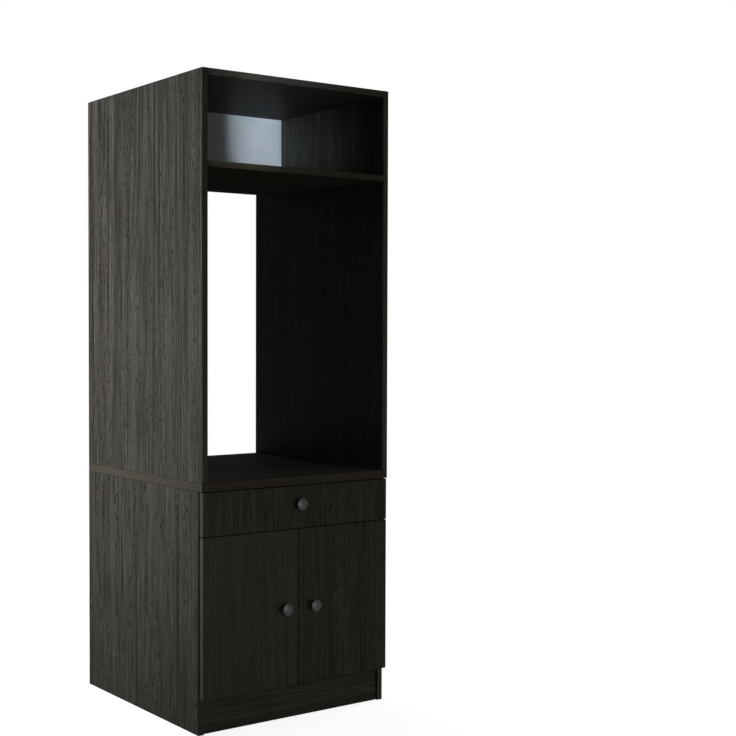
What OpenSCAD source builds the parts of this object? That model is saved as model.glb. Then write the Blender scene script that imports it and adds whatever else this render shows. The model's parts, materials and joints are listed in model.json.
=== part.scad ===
// Washing machine cabinet. A base unit with a drawer and two doors carries a worktop.
// On the worktop stands a tall open niche for the machine, with an open compartment above it.
// X runs left to right, the doors face -Y, and the floor is Z = 0.

/* [Cabinet] */
// Overall width
cabinet_width = 660; // [560:5:720]
// Depth from the rear edges to the faces of the doors
cabinet_depth = 660; // [600:5:720]
// Overall height
cabinet_height = 1830; // [1750:5:1950]
// Height of the worktop's upper face above the floor
worktop_height = 700; // [660:5:750]
// Thickness of the worktop
worktop_thickness = 25; // [22:1:32]
// Thickness of the melamine-faced boards
board = 18; // [16:1:19]
// Thickness of the hardboard panels
hardboard = 3; // [2.5:0.5:4]

/* [Upper unit] */
// Clear height of the niche for the machine
niche_height = 862; // [840:1:890]
// Depth of the fixed shelf above the niche
shelf_depth = 527; // [420:1:580]

/* [Base unit] */
// Height of the plinth, up to the underside of the base floor
plinth_height = 100; // [70:1:130]
// Set-back of the plinth behind the front edges of the sides
plinth_recess = 7; // [0:1:40]
// Depth of the rail between the drawer and the doors
middle_rail_depth = 80; // [70:1:120]
// Height of the upright rail at the back
rear_rail_height = 80; // [70:1:120]

/* [Fronts] */
// Height of the drawer front
drawer_front_height = 122; // [112:1:130]
// Gap between neighbouring fronts, and under the worktop
front_gap = 2; // [1.5:0.5:4]
// Reveal from the outer faces of the sides to the edges of the fronts
side_reveal = 3; // [1:0.5:4]
// Height of the doors' lower edges above the underside of the base floor
door_lift = 1; // [0:0.5:4]
// Gap from the backs of the fronts to the front edges of the sides
stand_off = 2; // [1.5:0.5:4]

/* [Grooves] */
// Depth of the grooves that hold the hardboard panels
groove_depth = 8; // [5:0.5:9]
// Distance from a groove to the rear edge of its board
groove_setback = 10; // [8:1:30]
// Clearance on each face of a hardboard panel in its groove
groove_play = 0.2; // [0.1:0.05:0.3]
// Clearance from a hardboard panel's edge to the bottom of its groove
panel_play = 0.5; // [0.3:0.1:1]

/* [Cam fittings] */
// Diameter of a cam
cam_diameter = 15; // [14:0.5:18]
// Distance from a board's end to the centre of its cam
cam_distance = 24; // [24:1:34]
// Depth of a cam's pocket below the middle of the board
cam_reach = 4; // [3.8:0.1:5]
// Diameter of a cam bolt's thread
bolt_thread = 5; // [4.5:0.5:6]
// Length of a cam bolt's thread
bolt_thread_length = 10; // [8:0.5:10]
// Diameter of a cam bolt's neck
bolt_neck = 4; // [3:0.5:4.5]
// Diameter of a cam bolt's ball head
bolt_head = 6.4; // [5.6:0.1:7]
// Diameter of a dowel
dowel_diameter = 8; // [6:1:8]
// Length of a dowel
dowel_length = 30; // [26:1:34]
// Part of a dowel that sits in the face of the joining board
dowel_seat = 10; // [8:0.5:10]
// Distance from a cam bolt to the dowel beside it
dowel_pitch = 32; // [26:1:40]
// Radial clearance of dowels, bolts, cams and screws in their holes
fastener_play = 0.1; // [0.05:0.01:0.15]
// Distance from a board's front or rear edge to its nearest cam
cam_edge = 60; // [50:1:90]

/* [Drawer] */
// Thickness of the drawer box boards
drawer_board = 16; // [15:1:16]
// Length of the drawer box, front to rear
drawer_length = 510; // [506:1:540]
// Height of the drawer box
drawer_height = 86; // [84:1:88]
// Height of the drawer box above the rail below it
drawer_lift = 8; // [6:1:12]
// Height of the drawer bottom's groove above the box's lower edge
bottom_lift = 10; // [8:1:16]
// Depth of the groove for the drawer bottom
bottom_groove = 6; // [4:0.5:8]
// Distance from the drawer's middle to its front screws
front_screw_reach = 200; // [120:5:230]

/* [Ball-bearing slides] */
// Length of the slides, which is also the drawer's travel
slide_length = 500; // [450:10:500]
// Height of a slide's section
slide_height = 45; // [45:1:46]
// Width of a slide's section, from the side to the drawer box
slide_width = 12.7; // [12.7:0.1:13.2]
// Thickness of the outer and inner members
slide_sheet = 1.2; // [1:0.1:1.2]
// Set-back of the slides behind the front edges of the sides
slide_setback = 2; // [2:0.5:4]
// Diameter of the bearing balls
ball_diameter = 3.2; // [3:0.1:3.2]
// Running clearance round a ball
ball_play = 0.1; // [0.08:0.01:0.12]
// Number of balls in each row
balls_per_row = 7; // [4:1:9]
// Distance between neighbouring balls
ball_pitch = 12; // [8:1:13]
// Thickness of the ball cages
cage_sheet = 0.6; // [0.5:0.1:0.6]

/* [Concealed hinges] */
// Diameter of the hinge cups
cup_diameter = 35; // [34:0.5:36]
// Depth of the hinge cups in the doors
cup_depth = 11.5; // [11:0.5:12]
// Distance from the door's edge to the edge of its cup
cup_edge = 5; // [4.5:0.5:6]
// Thickness of the cup's wall
cup_wall = 1.1; // [0.9:0.1:1.3]
// Distance from a door's upper or lower edge to its hinge
hinge_inset = 90; // [70:1:110]
// Distance from the front edge of a side to the screws of its hinge plate
plate_setback = 37; // [35:1:40]
// Width of a hinge arm
arm_width = 16; // [15:0.5:17]
// Thickness of a hinge arm's sheet
arm_sheet = 1.5; // [1.2:0.1:1.8]
// Length of a hinge arm behind the front edge of its side
arm_length = 82; // [78:1:90]
// Distance from a door's edge to its hinge axis
axis_inset = 6; // [5:0.5:7]
// Depth of the hinge axis behind the door's face
axis_depth = 5; // [4:0.5:6]

/* [Knobs] */
// Diameter of a knob
knob_diameter = 34; // [30:1:38]
// Distance that a knob stands out from its front
knob_projection = 22; // [20:1:30]
// Thickness of a knob's head, from its neck to the middle of its face
knob_head = 9; // [7:0.5:10]
// Rise of a knob's rounded face
knob_crown = 3; // [2:0.5:4]
// Thickness of the rim round a knob's face
knob_rim = 1.2; // [1:0.1:2]
// Diameter of a knob's foot
knob_foot = 12; // [10:0.5:14]
// Diameter of a knob's neck
knob_neck = 9; // [8:0.5:10]
// Distance from the upper edge of the drawer front to its knob
drawer_knob_drop = 52; // [40:1:75]
// Distance from the cabinet's middle to the door knobs
door_knob_x = 51; // [35:1:80]
// Height of the door knobs above the floor
door_knob_height = 324; // [250:1:450]
// Diameter of the knob screws
knob_screw = 4; // [3.5:0.5:5]
// Length of a knob screw's thread in its knob
knob_screw_grip = 8; // [6:0.5:9]

/* [Hidden] */

$fn = 48;
left = -1;
right = 1;
wenge = "#2b2723";
white_board = "#dfe3ea";
drawer_white = "#d9d8d4";
zinc = "#b9bcc0";
nickel = "#8f9296";
gunmetal = "#4a4b50";
beech = "#c9a877";
bronze = "#3b342d";

// The knobs stand out at the front, so the middle of the whole depth lies ahead of the boards' middle.
back_y = (cabinet_depth + knob_projection) / 2;
front_y = back_y - cabinet_depth;
outer_half = cabinet_width / 2;
inner_half = outer_half - board;

// Levels, from the floor up
worktop_under = worktop_height - worktop_thickness;
floor_top = plinth_height + board;
door_bottom = plinth_height + door_lift;
drawer_front_top = worktop_under - front_gap;
drawer_front_bottom = drawer_front_top - drawer_front_height;
door_top = drawer_front_bottom - front_gap;
middle_rail_under = (drawer_front_bottom + door_top - board) / 2;
middle_rail_top = middle_rail_under + board;
shelf_under = worktop_height + niche_height;
shelf_top = shelf_under + board;
top_under = cabinet_height - board;

// Depths, from the front back
base_front = front_y + board + stand_off;
plinth_front = base_front + plinth_recess;
panel_groove = hardboard + 2 * groove_play;
base_groove_back = back_y - groove_setback;
base_groove_front = base_groove_back - panel_groove;
shelf_back = front_y + shelf_depth;
shelf_groove_back = shelf_back - groove_setback;
shelf_groove_front = shelf_groove_back - panel_groove;

// Cam joints at the ends of the boards between the sides:
// [y, z, turn of the cam's mouth from upwards about X, offset of the dowel in y, and in z]
mouth_down = 180;
mouth_up = 0;
mouth_front = 90;
mouth_back = -90;
base_joints = [
  [base_front + cam_edge, floor_top - board / 2, mouth_down, dowel_pitch, 0],
  [base_groove_front - cam_edge, floor_top - board / 2, mouth_down, -dowel_pitch, 0],
  [base_front + (middle_rail_depth - dowel_pitch) / 2, middle_rail_top - board / 2, mouth_down,
   dowel_pitch, 0],
  [plinth_front + board / 2, (plinth_height - dowel_pitch) / 2, mouth_back, 0, dowel_pitch],
  [base_groove_front - board / 2, worktop_under - (rear_rail_height + dowel_pitch) / 2, mouth_front,
   0, dowel_pitch]
];
upper_joints = [
  [front_y + cam_edge, shelf_top - board / 2, mouth_down, dowel_pitch, 0],
  [shelf_groove_front - cam_edge, shelf_top - board / 2, mouth_down, -dowel_pitch, 0],
  [front_y + cam_edge, cabinet_height - board / 2, mouth_up, dowel_pitch, 0],
  [back_y - cam_edge, cabinet_height - board / 2, mouth_up, -dowel_pitch, 0]
];
// Cam joints where the sides meet the worktop: [y, offset of the dowel in y].
// Those above stand further in, so that the bolts from both sides miss each other.
below_spots = [
  [base_front + cam_edge, dowel_pitch],
  [base_groove_front - rear_rail_height, -dowel_pitch]
];
above_spots = [
  [front_y + 2 * cam_edge + dowel_pitch, dowel_pitch],
  [back_y - 2 * cam_edge - dowel_pitch, -dowel_pitch]
];

// Drawer box
box_half = inner_half - slide_width;
box_bottom = middle_rail_top + drawer_lift;
box_top = box_bottom + drawer_height;
box_front = front_y + board;
box_back = box_front + drawer_length;
bottom_z = box_bottom + bottom_lift;
slide_z = box_bottom + drawer_height / 2;
slide_front = base_front + slide_setback;
// Distances from the box's lower and upper edges to its corner screws
box_screw_lift = 10;
box_screw_drop = 12;
box_screw_levels = [box_bottom + box_screw_lift, box_top - box_screw_drop];
box_screw_length = 50;
box_screw_diameter = 5;
box_screw_head = 9;
// Length of a front screw in the drawer front, and half the distance between the two on a side
front_screw_grip = 12;
front_screw_spread = 20;
front_screw_length = drawer_board + front_screw_grip;
front_screw_levels = [slide_z - front_screw_spread, slide_z + front_screw_spread];

// Slide section, measured from the face of the side inwards and from the slide's middle up
ball_radius = ball_diameter / 2;
race_depth = 0.25;
outer_flange = 8.6;
outer_lip = 0.9;
middle_web = 3;
middle_sheet = 1;
middle_flange_thickness = 2;
middle_flange_end = 10.2;
inner_flange_start = 6.3;
outer_ball_x = 5;
inner_ball_x = 8.2;
outer_flange_under = slide_height / 2 - slide_sheet;
outer_ball_z = outer_flange_under + race_depth - ball_radius;
middle_flange_top = outer_ball_z - ball_radius + race_depth;
middle_flange_under = middle_flange_top - middle_flange_thickness;
inner_ball_z = middle_flange_under + race_depth - ball_radius;
inner_flange_top = inner_ball_z - ball_radius + race_depth;
// Metal left between a ball's hole and the edge of its cage
cage_land = 0.4;
ball_hole_radius = ball_radius + ball_play;
outer_cage_x = 1.8;
outer_cage_end = outer_ball_x + ball_hole_radius + cage_land;
inner_cage_x = 4.6;
inner_cage_end = inner_ball_x + ball_hole_radius + cage_land;
cage_length = balls_per_row * ball_pitch;
cage_start = slide_length / 4 + 10;
// Screw places along a slide: the first one, and others at steps of the usual hole pitch
slide_first_screw = 35;
hole_pitch = 32;
slide_screw_spots = [for (step = [0, 7, 12]) slide_first_screw + step * hole_pitch];
slide_screw = 3.8;
slide_screw_head = 6.6;
slide_screw_sink = 0.8;
slide_screw_length = 13;
access_hole = 9;

// Hinges, measured from the door's outer edge inwards and from its face back
cup_centre = cup_edge + cup_diameter / 2;
cup_floor = board - cup_depth + cup_wall;
rim_width = 2;
rim_thickness = 1;
wing_offset = 9.5;
wing_spacing = 48;
wing_end = 7.5;
// The door's rear corner turns about the axis at this radius, and the arm's nose stays outside it.
corner_radius = norm([axis_inset, board - axis_depth]);
nose_play = 1.2;
nose_rest = 0.3;
nose_low = axis_inset + corner_radius + nose_play;
nose_high = nose_low + 8;
nose_tip = cup_floor + nose_rest;
side_face = board - side_reveal;
side_edge = board + stand_off;
arm_top = side_face + 15.5;
arm_foot = side_face + 3.2;
// Distances behind the side's front edge where the arm's back and its nose bend
arm_bend = 6;
nose_bend = 8;
plate_centre = side_edge + plate_setback;
plate_thickness = 2.2;
plate_band = 14;
rail_top = side_face + 10.5;
rail_width = 11;
rail_length = 52;
rail_start = plate_centre - plate_band;
rail_end = rail_start + rail_length;
// Distances from the plate's middle back to the arm's clamping screw, and forward to its adjusting screw
clamp_reach = 26;
adjust_reach = 8;
arm_screw = 5;
arm_screw_spots = [plate_centre + clamp_reach, plate_centre - adjust_reach];
// Distances from the side's face to the tips of those screws and to the bottoms of their holes
arm_screw_tip = 4;
arm_hole_bottom = 2;
hinge_levels = [door_bottom + hinge_inset, door_top - hinge_inset];
wood_screw = 3.5;
wood_screw_head = 7;
wood_screw_length = 14;

knob_bore = knob_screw_grip + 1.5;

// A box given by its low and high ends along each axis
module block(x, y, z) {
  translate([x[0], y[0], z[0]]) cube([x[1] - x[0], y[1] - y[0], z[1] - z[0]]);
}

// Places its children, drawn for the left side, on the left (-1) or the right (1)
module on_side(side) {
  mirror([side + 1, 0, 0]) children();
}

// Cam joint pieces. The joint's plane is x = 0, the board with the cam lies at x > 0,
// its middle is z = 0 and the cam's mouth is up.
module cam_housing() {
  reach = board / 2 + cam_reach - fastener_play;
  slot = bolt_neck + 1;
  well = bolt_head + 0.6;
  translate([cam_distance, 0, 0])
    difference() {
      translate([0, 0, -cam_reach + fastener_play])
        cylinder(d = cam_diameter - 2 * fastener_play, h = reach - 0.3);
      translate([0, 0, -cam_reach - 1]) cylinder(d = well, h = cam_reach + 1 + well / 2);
      translate([-cam_diameter, -slot / 2, -cam_reach - 1])
        cube([cam_diameter, slot, cam_reach + 1 + slot / 2]);
      for (turn = [0, 90])
        rotate([0, 0, turn])
          translate([-4.5, -0.7, board / 2 - 2.5]) cube([9, 1.4, 3]);
    }
}

module cam_bolt() {
  collar = 2.5;
  rotate([0, 90, 0]) {
    translate([0, 0, -bolt_thread_length]) cylinder(d = bolt_thread, h = bolt_thread_length);
    cylinder(d = bolt_thread + 1.6, h = collar);
    cylinder(d = bolt_neck, h = cam_distance);
    translate([0, 0, cam_distance]) sphere(d = bolt_head);
  }
}

module dowel() {
  bevel = 1;
  rotate([0, 90, 0])
    translate([0, 0, -dowel_seat]) {
      cylinder(d1 = dowel_diameter - 2 * bevel, d2 = dowel_diameter, h = bevel);
      translate([0, 0, bevel]) cylinder(d = dowel_diameter, h = dowel_length - 2 * bevel);
      translate([0, 0, dowel_length - bevel])
        cylinder(d1 = dowel_diameter, d2 = dowel_diameter - 2 * bevel, h = bevel);
    }
}

// Holes of a cam joint: the pocket and its channel in the one board, the thread's hole in the other
module cam_holes() {
  translate([cam_distance, 0, -cam_reach]) cylinder(d = cam_diameter, h = board / 2 + cam_reach + 1);
  rotate([0, 90, 0]) translate([0, 0, -1]) cylinder(d = bolt_thread + 2.4, h = cam_distance + 1);
}

module bolt_hole() {
  rotate([0, 90, 0])
    translate([0, 0, -bolt_thread_length - 0.5])
      cylinder(d = bolt_thread + 2 * fastener_play, h = bolt_thread_length + 1.5);
}

module dowel_hole() {
  rotate([0, 90, 0])
    translate([0, 0, -dowel_seat - 0.5])
      cylinder(d = dowel_diameter + 2 * fastener_play, h = dowel_length + 1);
}

// Puts its children at the cam joints of the boards between the sides, or at their dowels
module at_ends(joints, at_dowel = 0) {
  for (joint = joints, side = [left, right])
    translate([side * inner_half, joint[0] + at_dowel * joint[3], joint[1] + at_dowel * joint[4]])
      on_side(side) rotate([joint[2], 0, 0]) children();
}

// Puts its children at the cam joints under the worktop, or at their dowels
module at_below(at_dowel = 0) {
  for (spot = below_spots, side = [left, right])
    translate([side * (outer_half - board / 2), spot[0] + at_dowel * spot[1], worktop_under])
      on_side(side) rotate([0, 90, 0]) children();
}

// Puts its children at the cam joints on top of the worktop, or at their dowels
module at_above(at_dowel = 0) {
  for (spot = above_spots, side = [left, right])
    translate([side * (outer_half - board / 2), spot[0] + at_dowel * spot[1], worktop_height])
      on_side(side) rotate([180, -90, 0]) children();
}

module base_side(side) {
  color(wenge)
    difference() {
      on_side(side) block([-outer_half, -inner_half], [base_front, back_y], [0, worktop_under]);
      on_side(side)
        block([-inner_half - groove_depth, -inner_half + 1], [base_groove_front, base_groove_back],
              [plinth_height, worktop_under + 1]);
      at_ends(base_joints) bolt_hole();
      at_ends(base_joints, 1) dowel_hole();
      at_below() cam_holes();
      at_below(1) dowel_hole();
      for (level = hinge_levels) at_hinge(side, level) at_plate_screws() pilot_hole();
      at_slide(side) slide_screw_holes();
    }
}

module base_floor() {
  color(wenge)
    difference() {
      block([-inner_half, inner_half], [base_front, base_groove_front], [plinth_height, floor_top]);
      at_ends(base_joints) cam_holes();
      at_ends(base_joints, 1) dowel_hole();
    }
}

module plinth() {
  color(wenge)
    difference() {
      block([-inner_half, inner_half], [plinth_front, plinth_front + board], [0, plinth_height]);
      at_ends(base_joints) cam_holes();
      at_ends(base_joints, 1) dowel_hole();
    }
}

module middle_rail() {
  color(wenge)
    difference() {
      block([-inner_half, inner_half], [base_front, base_front + middle_rail_depth],
            [middle_rail_under, middle_rail_top]);
      at_ends(base_joints) cam_holes();
      at_ends(base_joints, 1) dowel_hole();
    }
}

module rear_rail() {
  color(wenge)
    difference() {
      block([-inner_half, inner_half], [base_groove_front - board, base_groove_front],
            [worktop_under - rear_rail_height, worktop_under]);
      at_ends(base_joints) cam_holes();
      at_ends(base_joints, 1) dowel_hole();
    }
}

module base_back() {
  reach = inner_half + groove_depth - panel_play;
  color(white_board)
    block([-reach, reach], [base_groove_front + groove_play, base_groove_back - groove_play],
          [plinth_height + panel_play, worktop_under - panel_play]);
}

module worktop() {
  color(wenge)
    difference() {
      block([-outer_half, outer_half], [front_y, back_y], [worktop_under, worktop_height]);
      at_below() bolt_hole();
      at_below(1) dowel_hole();
      at_above() bolt_hole();
      at_above(1) dowel_hole();
    }
}

module upper_side(side) {
  color(wenge)
    difference() {
      on_side(side) block([-outer_half, -inner_half], [front_y, back_y], [worktop_height, cabinet_height]);
      on_side(side)
        block([-inner_half - groove_depth, -inner_half + 1], [shelf_groove_front, shelf_groove_back],
              [shelf_top - groove_depth, top_under + groove_depth]);
      at_ends(upper_joints) bolt_hole();
      at_ends(upper_joints, 1) dowel_hole();
      at_above() cam_holes();
      at_above(1) dowel_hole();
    }
}

module compartment_shelf() {
  color(wenge)
    difference() {
      block([-inner_half, inner_half], [front_y, shelf_back], [shelf_under, shelf_top]);
      block([-inner_half - 1, inner_half + 1], [shelf_groove_front, shelf_groove_back],
            [shelf_top - groove_depth, shelf_top + 1]);
      at_ends(upper_joints) cam_holes();
      at_ends(upper_joints, 1) dowel_hole();
    }
}

module top_panel() {
  color(wenge)
    difference() {
      block([-inner_half, inner_half], [front_y, back_y], [top_under, cabinet_height]);
      block([-inner_half - 1, inner_half + 1], [shelf_groove_front, shelf_groove_back],
            [top_under - 1, top_under + groove_depth]);
      at_ends(upper_joints) cam_holes();
      at_ends(upper_joints, 1) dowel_hole();
    }
}

module compartment_back() {
  reach = inner_half + groove_depth - panel_play;
  color(white_board)
    block([-reach, reach], [shelf_groove_front + groove_play, shelf_groove_back - groove_play],
          [shelf_top - groove_depth + panel_play, top_under + groove_depth - panel_play]);
}

module cam_housings() {
  color(bronze) {
    at_ends(base_joints) cam_housing();
    at_ends(upper_joints) cam_housing();
    at_below() cam_housing();
    at_above() cam_housing();
  }
}

module cam_bolts() {
  color(zinc) {
    at_ends(base_joints) cam_bolt();
    at_ends(upper_joints) cam_bolt();
    at_below() cam_bolt();
    at_above() cam_bolt();
  }
}

module dowels() {
  color(beech) {
    at_ends(base_joints, 1) dowel();
    at_ends(upper_joints, 1) dowel();
    at_below(1) dowel();
    at_above(1) dowel();
  }
}

// A countersunk wood screw. Its head's face is z = 0 and its point is down.
module wood_screw(diameter, head, length) {
  sink = (head - diameter) / 2;
  translate([0, 0, -sink]) cylinder(d1 = diameter, d2 = head, h = sink);
  translate([0, 0, -length + diameter]) cylinder(d = diameter, h = length - diameter - sink);
  translate([0, 0, -length]) cylinder(d1 = 0.6, d2 = diameter, h = diameter);
}

// The hole of such a screw, with its countersink
module wood_screw_hole(diameter, head, length) {
  sink = (head - diameter) / 2;
  play = fastener_play;
  translate([0, 0, -sink]) cylinder(d1 = diameter + 2 * play, d2 = head + 2 * play, h = sink);
  translate([0, 0, -0.001]) cylinder(d = head + 2 * play, h = 1);
  translate([0, 0, -length - 0.5]) cylinder(d = diameter + 2 * play, h = length + 0.5);
}

// A pan-headed machine screw. Its head sits on z = 0 and its shank is down.
module pan_screw(diameter, length) {
  cylinder(d1 = 2 * diameter, d2 = 1.7 * diameter, h = 0.55 * diameter);
  translate([0, 0, -length]) cylinder(d = diameter, h = length);
}

// Puts its children on the screws of the box's corners, driven in from the left and the right
module at_box_screws() {
  for (side = [left, right], level = box_screw_levels, y = [box_front, box_back - drawer_board])
    translate([side * box_half, y + drawer_board / 2, level])
      on_side(side) rotate([0, -90, 0]) children();
}

// Puts its children on the screws that hold the drawer front, driven in from inside the box
module at_front_screws() {
  for (side = [left, right], level = front_screw_levels)
    translate([side * front_screw_reach, box_front + drawer_board, level])
      rotate([-90, 0, 0]) children();
}

module box_screw_hole() {
  wood_screw_hole(box_screw_diameter, box_screw_head, box_screw_length);
}

module front_screw_hole() {
  wood_screw_hole(wood_screw, wood_screw_head, front_screw_length);
}

// The groove for the drawer bottom, all round the inside of the box
module bottom_slot() {
  half = box_half - drawer_board + bottom_groove;
  block([-half, half], [box_front + drawer_board - bottom_groove, box_back - drawer_board + bottom_groove],
        [bottom_z, bottom_z + panel_groove]);
}

module drawer_front() {
  color(wenge)
    difference() {
      block([-outer_half + side_reveal, outer_half - side_reveal], [front_y, front_y + board],
            [drawer_front_bottom, drawer_front_top]);
      at_front_screws() front_screw_hole();
      at_drawer_knob() knob_screw_hole();
    }
}

module drawer_box_front() {
  color(drawer_white)
    difference() {
      block([-box_half + drawer_board, box_half - drawer_board], [box_front, box_front + drawer_board],
            [box_bottom, box_top]);
      bottom_slot();
      at_box_screws() box_screw_hole();
      at_front_screws() front_screw_hole();
      at_drawer_knob() knob_screw_hole();
    }
}

module drawer_back() {
  color(drawer_white)
    difference() {
      block([-box_half + drawer_board, box_half - drawer_board], [box_back - drawer_board, box_back],
            [box_bottom, box_top]);
      bottom_slot();
      at_box_screws() box_screw_hole();
    }
}

module drawer_side(side) {
  color(drawer_white)
    difference() {
      on_side(side)
        block([-box_half, -box_half + drawer_board], [box_front, box_back], [box_bottom, box_top]);
      bottom_slot();
      at_box_screws() box_screw_hole();
      at_slide(side) inner_screw_holes();
    }
}

module drawer_bottom() {
  half = box_half - drawer_board + bottom_groove - panel_play;
  front = box_front + drawer_board - bottom_groove + panel_play;
  back = box_back - drawer_board + bottom_groove - panel_play;
  color(white_board)
    block([-half, half], [front, back], [bottom_z + groove_play, bottom_z + groove_play + hardboard]);
}

module drawer_box_screws() {
  color(zinc) at_box_screws() wood_screw(box_screw_diameter, box_screw_head, box_screw_length);
}

module drawer_front_screws() {
  color(zinc) at_front_screws() wood_screw(wood_screw, wood_screw_head, front_screw_length);
}

// Knobs. The knob is drawn upwards from the front's face, which is z = 0.
module knob() {
  radius = knob_diameter / 2;
  foot_edge = 1.2;
  waist = 6;
  head_base = knob_projection - knob_head;
  rim_top = knob_projection - knob_crown;
  face_steps = 6;
  difference() {
    rotate_extrude()
      polygon(concat(
        [[0, 0], [knob_foot / 2, 0], [knob_foot / 2, foot_edge]],
        [for (turn = [0 : 15 : 90])
          [knob_neck / 2 + (knob_foot - knob_neck) / 2 * (1 - sin(turn)),
           foot_edge + (waist - foot_edge) * (1 - cos(turn))]],
        [[knob_neck / 2, head_base], [radius, rim_top - knob_rim], [radius, rim_top]],
        [for (step = [face_steps - 1 : -1 : 0])
          [radius * step / face_steps, knob_projection - knob_crown * pow(step / face_steps, 2)]]
      ));
    translate([0, 0, -1]) cylinder(d = knob_screw + 2 * fastener_play, h = knob_bore + 1);
  }
}

module at_drawer_knob() {
  translate([0, front_y, drawer_front_top - drawer_knob_drop]) rotate([90, 0, 0]) children();
}

module at_door_knob(side) {
  translate([side * door_knob_x, front_y, door_knob_height]) rotate([90, 0, 0]) children();
}

// The screw of a knob on boards of the given thickness, in the knob's own place
module fitted_knob_screw(thickness) {
  translate([0, 0, -thickness]) mirror([0, 0, 1]) pan_screw(knob_screw, thickness + knob_screw_grip);
}

module knob_screw_hole() {
  depth = board + drawer_board + 2;
  translate([0, 0, -depth]) cylinder(d = knob_screw + 0.6, h = depth + 1);
}

module drawer_knob() {
  color(gunmetal) at_drawer_knob() knob();
}

module drawer_knob_screw() {
  color(zinc) at_drawer_knob() fitted_knob_screw(board + drawer_board);
}

module door_knob(side) {
  color(gunmetal) at_door_knob(side) knob();
}

module door_knob_screw(side) {
  color(zinc) at_door_knob(side) fitted_knob_screw(board);
}

// Ball-bearing slides. The section is drawn with x away from the side and y up.
module at_slide(side) {
  translate([side * inner_half, slide_front, slide_z]) on_side(side) children();
}

module run(length) {
  rotate([90, 0, 0]) translate([0, 0, -length]) linear_extrude(length) children();
}

// The whole outline of a section, from its upper half
function whole(half) = concat(half, [for (i = [len(half) - 1 : -1 : 0]) [half[i][0], -half[i][1]]]);

module races(x, y) {
  for (way = [-1, 1]) translate([x, way * y]) circle(r = ball_hole_radius);
}

module outer_section() {
  top = slide_height / 2;
  lip_x = outer_flange - slide_sheet;
  difference() {
    polygon(whole([
      [0, top], [outer_flange, top],
      [outer_flange, outer_flange_under - outer_lip], [lip_x, outer_flange_under - outer_lip],
      [lip_x, outer_flange_under], [slide_sheet, outer_flange_under]
    ]));
    races(outer_ball_x, outer_ball_z);
  }
}

module middle_section() {
  difference() {
    polygon(whole([
      [middle_web, middle_flange_top], [middle_flange_end, middle_flange_top],
      [middle_flange_end, middle_flange_under], [middle_web + middle_sheet, middle_flange_under]
    ]));
    races(outer_ball_x, outer_ball_z);
    races(inner_ball_x, inner_ball_z);
  }
}

module inner_section() {
  web = slide_width - slide_sheet;
  difference() {
    polygon(whole([
      [slide_width, inner_flange_top], [inner_flange_start, inner_flange_top],
      [inner_flange_start, inner_flange_top - slide_sheet], [web, inner_flange_top - slide_sheet]
    ]));
    races(inner_ball_x, inner_ball_z);
  }
}

module cage_section(web, end, top) {
  polygon(whole([
    [web, top], [end, top], [end, top - cage_sheet], [web + cage_sheet, top - cage_sheet]
  ]));
}

// Puts its children on the slide's screws, with their axes into the side
module at_slide_screws(x) {
  for (spot = slide_screw_spots)
    translate([x, spot, 0]) rotate([0, 90, 0]) children();
}

module slide_screw_holes() {
  at_slide_screws(0)
    translate([0, 0, -slide_screw_length])
      cylinder(d = slide_screw + 2 * fastener_play, h = slide_screw_length + 1);
}

module inner_screw_holes() {
  at_slide_screws(slide_width)
    translate([0, 0, -1]) cylinder(d = slide_screw + 2 * fastener_play, h = slide_screw_length);
}

module slide_outer(side) {
  color(zinc)
    at_slide(side)
      difference() {
        run(slide_length) outer_section();
        slide_screw_holes();
        at_slide_screws(slide_sheet - slide_screw_sink)
          cylinder(d = slide_screw_head + 2 * fastener_play, h = 2);
      }
}

module slide_middle(side) {
  color(zinc)
    at_slide(side)
      difference() {
        run(slide_length) middle_section();
        at_slide_screws(middle_web - 1) cylinder(d = access_hole, h = middle_sheet + 2);
      }
}

module slide_inner(side) {
  color(zinc)
    at_slide(side)
      difference() {
        run(slide_length) inner_section();
        at_slide_screws(slide_width - slide_sheet - 1)
          cylinder(d = slide_screw + 2 * fastener_play, h = slide_sheet + 2);
      }
}

// A flat-headed slide screw. Its head's underside is z = 0 and its shank is down.
module slide_screw(shank, head) {
  cylinder(d = slide_screw_head, h = head);
  translate([0, 0, -shank]) cylinder(d = slide_screw, h = shank);
}

module slide_outer_screws() {
  color(zinc)
    for (side = [left, right])
      at_slide(side)
        at_slide_screws(slide_sheet - slide_screw_sink)
          slide_screw(slide_screw_length - 1, slide_screw_sink - 0.1);
}

module slide_inner_screws() {
  color(zinc)
    for (side = [left, right])
      at_slide(side)
        at_slide_screws(slide_width - slide_sheet)
          mirror([0, 0, 1]) slide_screw(slide_screw_length - 1, 1.3);
}

// A cage and its balls, between the members that roll on them
module ball_cage(web, end, ball_x, ball_z) {
  translate([0, cage_start, 0]) {
    difference() {
      run(cage_length) cage_section(web, end, ball_z + cage_sheet / 2);
      at_balls(ball_x, ball_z)
        translate([0, 0, -cage_sheet]) cylinder(r = ball_hole_radius, h = 2 * cage_sheet);
    }
    at_balls(ball_x, ball_z) sphere(r = ball_radius);
  }
}

module at_balls(ball_x, ball_z) {
  for (row = [-1, 1], index = [0 : balls_per_row - 1])
    translate([ball_x, (index + 0.5) * ball_pitch, row * ball_z]) children();
}

module outer_ball_cage(side) {
  color(nickel) at_slide(side) ball_cage(outer_cage_x, outer_cage_end, outer_ball_x, outer_ball_z);
}

module inner_ball_cage(side) {
  color(nickel) at_slide(side) ball_cage(inner_cage_x, inner_cage_end, inner_ball_x, inner_ball_z);
}

// Hinges. They are drawn for the left door: x from the door's outer edge inwards, y from its face back.
module at_hinge(side, level) {
  translate([side * (outer_half - side_reveal), front_y, level]) on_side(side) children();
}

// Puts its children on a cup's two wing screws, with their heads to the rear
module at_cup_screws() {
  for (way = [-1, 1])
    translate([cup_centre + wing_offset, board, way * wing_spacing / 2]) rotate([-90, 0, 0]) children();
}

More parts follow.
